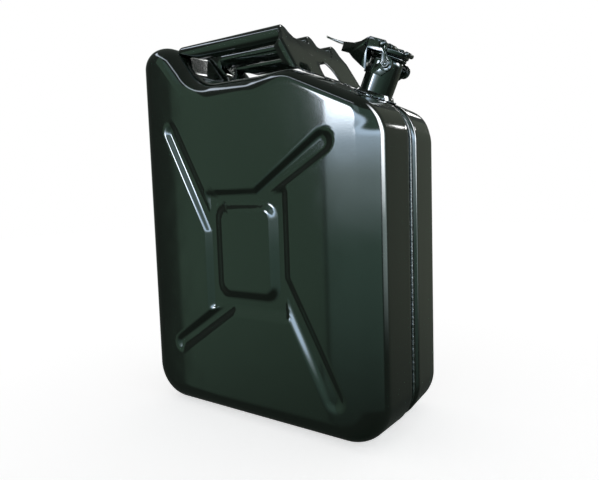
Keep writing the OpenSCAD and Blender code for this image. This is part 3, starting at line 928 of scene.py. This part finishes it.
@dataclass
class Studio:
    """Pale floor, soft panels and the camera."""

    camera_at: tuple = (0.38152, -0.51950, 0.26486)
    azimuth: float = 34.782
    elevation: float = 4.796
    roll: float = -1.895
    lens: float = 30.2
    fill: float = 0.42
    room: tuple = (
        (-90.0, "#8f9a92", 0.03),
        (-25.0, "#8f9a92", 0.03),
        (-6.0, "#c8d4cc", 0.07),
        (6.0, "#c8d4cc", 0.07),
        (35.0, "#c8d4cc", 0.07),
        (90.0, "#c8d4cc", 0.16),
    )
    panels: tuple = (
        Panel(-31.8, -19.0, 6.0, 21.0, 17.0, "#f2f8ff", right_soft=5.0, foot_soft=5.5, head_soft=6.0),
        Panel(-31.8, 100.0, 2.0, 19.0, 5.2, "#c6e0ff", foot_soft=9.0, head_soft=6.0),
        Panel(-31.8, 100.0, -7.0, 22.0, 1.8, "#cfe0ea", foot_soft=13.0, head_soft=9.0),
        Panel(-31.8, 100.0, -30.0, 40.0, 0.55, "#a9e0cc", right_soft=8.0, foot_soft=24.0),
        Panel(-48.6, -31.8, -36.0, 60.0, 0.30, "#c2ffda", foot_soft=30.0, head_soft=20.0),
        Panel(
            -14.0, 24.0, 16.0, 44.0, 0.8, "#cfe8f6",
            left_soft=10.0, right_soft=10.0, foot_soft=10.0, head_soft=10.0,
        ),
        Panel(
            100.0, 128.0, -4.0, 60.0, 15.0, "#f4f9ff",
            left_soft=6.0, right_soft=8.0, foot_soft=13.0, head_soft=30.0,
        ),
        Panel(
            100.0, 135.0, -18.0, 30.0, 1.9, "#cfe6e4",
            left_soft=6.0, right_soft=8.0, foot_soft=14.0, head_soft=20.0,
        ),
        Panel(128.0, 180.0, -30.0, 60.0, 0.08, "#e4f0d0", left_soft=8.0, foot_soft=24.0, head_soft=30.0),
        Panel(
            -95.0, 5.0, 44.5, 50.0, 3.2, "#e4f0ff",
            left_soft=14.0, right_soft=10.0, foot_soft=1.5, head_soft=1.5,
        ),
        Panel(157.0, 167.0, 16.0, 19.5, 6.0),
        Panel(
            -155.0, -100.0, -20.0, 38.0, 1.0, "#eef4f0",
            left_soft=22.0, right_soft=22.0, foot_soft=20.0, head_soft=18.0,
        ),
        Panel(-173.0, -165.0, 19.0, 22.5, 4.0),
        Panel(-174.0, -162.0, 40.5, 47.5, 9.0),
    )

    def camera(self) -> None:
        """Sets the camera: it looks along its azimuth and a little down, turned by its roll."""
        a, e, r = (math.radians(v) for v in (self.azimuth, self.elevation, self.roll))
        ahead = np.array([-math.sin(a) * math.cos(e), math.cos(a) * math.cos(e), -math.sin(e)])
        right = np.array([math.cos(a), math.sin(a), 0.0])
        up = np.cross(right, ahead)
        across = math.cos(r) * right + math.sin(r) * up
        above = -math.sin(r) * right + math.cos(r) * up
        data = bpy.data.cameras.new("camera")
        data.lens, data.sensor_width = self.lens, 36.0
        data.clip_start = 0.01
        cam = bpy.data.objects.new("camera", data)
        bpy.context.scene.collection.objects.link(cam)
        m = np.eye(4)
        m[:3, 0], m[:3, 1], m[:3, 2], m[:3, 3] = across, above, -ahead, self.camera_at
        cam.matrix_world = Matrix(m.tolist())
        bpy.context.scene.camera = cam

    def world(self) -> None:
        """Surrounds the can: white to the eye, an even fill for dull surfaces, panels and a dim room for gloss."""
        world = bpy.data.worlds.new("studio")
        world.use_nodes = True
        bpy.context.scene.world = world
        tree = world.node_tree
        tree.nodes.clear()
        way = add_node(tree, "ShaderNodeTexCoord").outputs["Generated"]
        part = add_node(tree, "ShaderNodeSeparateXYZ", {0: way})
        behind = add_node(tree, "ShaderNodeMath", {0: part.outputs["Y"], 1: -1.0}, operation="MULTIPLY")
        turn = add_node(tree, "ShaderNodeMath", {0: part.outputs["X"], 1: behind.outputs[0]}, operation="ARCTAN2")
        rise = add_node(tree, "ShaderNodeMath", {0: part.outputs["Z"]}, operation="ARCSINE")
        down, up = -math.pi / 2, math.pi / 2
        span = add_node(tree, "ShaderNodeMapRange", {0: rise.outputs[0], 1: down, 2: up})
        room = add_node(tree, "ShaderNodeValToRGB", {0: span.outputs[0]})
        ramp = room.color_ramp
        ramp.elements.remove(ramp.elements[1])
        for k, (angle, colour, level) in enumerate(self.room):
            stop = ramp.elements[0] if k == 0 else ramp.elements.new(0.0)
            stop.position = 0.5 + angle / 180
            stop.color = tuple(c * level for c in linear(colour)[:3]) + (1.0,)
        total = room.outputs[0]
        for p in self.panels:
            glow = self.panel_mask(tree, turn.outputs[0], rise.outputs[0], p)
            colour = tuple(c * p.level for c in linear(p.colour)[:3]) + (1,)
            total = add_node(
                tree,
                "ShaderNodeMix",
                {0: glow, 6: total, 7: colour},
                data_type="RGBA",
                blend_type="ADD",
                clamp_factor=False,
            ).outputs[2]
        seen = add_node(tree, "ShaderNodeLightPath")
        bright = add_node(tree, "ShaderNodeBackground", {"Color": total, "Strength": 1.0})
        plain = add_node(tree, "ShaderNodeBackground", {"Color": (1, 1, 1, 1), "Strength": self.fill})
        white = add_node(tree, "ShaderNodeBackground", {"Color": (1, 1, 1, 1), "Strength": 1.0})
        dull, eye = seen.outputs["Is Diffuse Ray"], seen.outputs["Is Camera Ray"]
        lit = add_node(tree, "ShaderNodeMixShader", {0: dull, 1: bright.outputs[0], 2: plain.outputs[0]})
        mix = add_node(tree, "ShaderNodeMixShader", {0: eye, 1: lit.outputs[0], 2: white.outputs[0]})
        add_node(tree, "ShaderNodeOutputWorld", {"Surface": mix.outputs[0]})
        world.cycles.sampling_method = "NONE"

    @staticmethod
    def panel_mask(
        tree: bpy.types.NodeTree, turn: bpy.types.NodeSocket, rise: bpy.types.NodeSocket, panel: Panel
    ) -> bpy.types.NodeSocket:
        """One panel's brightness: smooth steps at its two sides, its foot and its head, multiplied.

        Args:
            tree: The world's tree.
            turn: Angle round the can, in radians.
            rise: Angle above the horizon, in radians.
            panel: The panel.

        Returns:
            The mask's socket.
        """
        edges = (
            (turn, panel.left, panel.left + panel.left_soft),
            (turn, panel.right, panel.right - panel.right_soft),
            (rise, panel.foot, panel.foot + panel.foot_soft),
            (rise, panel.head, panel.head - panel.head_soft),
        )
        mask = None
        for angle, outside, inside in edges:
            step = add_node(
                tree, "ShaderNodeMapRange", {0: angle, 1: math.radians(outside), 2: math.radians(inside)},
                interpolation_type="SMOOTHSTEP",
            ).outputs[0]
            if mask is None:
                mask = step
            else:
                mask = add_node(tree, "ShaderNodeMath", {0: mask, 1: step}, operation="MULTIPLY").outputs[0]
        return mask

    def floor(self) -> None:
        """A wide pale floor that the gloss doesn't mirror."""
        pts = np.array([[-4000, -4000, -0.4], [4000, -4000, -0.4], [4000, 4000, -0.4], [-4000, 4000, -0.4]])
        obj = mesh_piece("floor", pts, [np.array([[0, 1, 2, 3]])])
        mat = bpy.data.materials.new("pale_floor")
        mat.use_nodes = True
        tree = mat.node_tree
        tree.nodes.clear()
        shader = add_node(
            tree,
            "ShaderNodeBsdfPrincipled",
            {
                "Base Color": (0.9, 0.9, 0.9, 1),
                "Roughness": 0.9,
                "Specular IOR Level": 0.0,
                "Emission Color": (1, 1, 1, 1),
                "Emission Strength": 0.64,
            },
        )
        add_node(tree, "ShaderNodeOutputMaterial", {"Surface": shader.outputs[0]})
        obj.data.materials.append(mat)
        obj.visible_glossy = obj.visible_diffuse = False

    def build(self) -> None:
        """Sets up the whole studio."""
        self.camera()
        self.world()
        self.floor()
        bpy.context.scene.view_settings.view_transform = "Standard"


def main() -> None:
    """Builds the can and the studio, and reports each piece."""
    logging.basicConfig(level=logging.INFO, format="%(message)s")
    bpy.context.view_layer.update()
    mats = {"enamel": Enamel().material(), "rubber": Rubber().material()}
    for name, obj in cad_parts.items():
        obj.data.materials.clear()
        obj.data.materials.append(mats["rubber" if name == "lid_gasket" else "enamel"])
    for side in Side:
        settle(Shell(side).build(), "can", (f"shell_{side.name.lower()}",), "enamel", mats)
    bead, spatter = SeamWeld().build()
    settle(bead, "can", ("seam_weld",), "enamel", mats)
    settle(spatter, "can", (), "enamel", mats)
    for y, tail, place in ((-54.0, -113.0, "right"), (0.0, -92.0, "middle"), (54.0, -113.0, "left")):
        settle(GripBar(y, tail, f"grip_bar_{place}").build(), "can", (f"handle_bar_{place}",), "enamel", mats)
    for obj, body, nodes, slot in Closure().pieces():
        settle(obj, body, nodes, slot, mats)
    settle(Closure().foot_weld(), "can", (), "enamel", mats)
    plate = FrontPlate()
    settle(plate.build(), "can", ("handle_front_plate",), "enamel", mats)
    for obj in plate.flange():
        settle(obj, "can", (), "enamel", mats)
    for name, body, node, width in (
        ("bar_foot", "can", "handle_rear_foot", 0.6),
        ("neck_foot_collar", "can", "neck_collar", 0.5),
        ("trunnion_strap", "can", "pivot_strap", 0.4),
        ("cam_hood", "lever", "lever_hood", 0.5),
        ("lid_bridge", "lid", "lid_hub", 0.5),
    ):
        settle(softened(name, (node,), width), body, (node,), "enamel", mats)
    Studio().build()


if __name__ == "__main__":
    main()
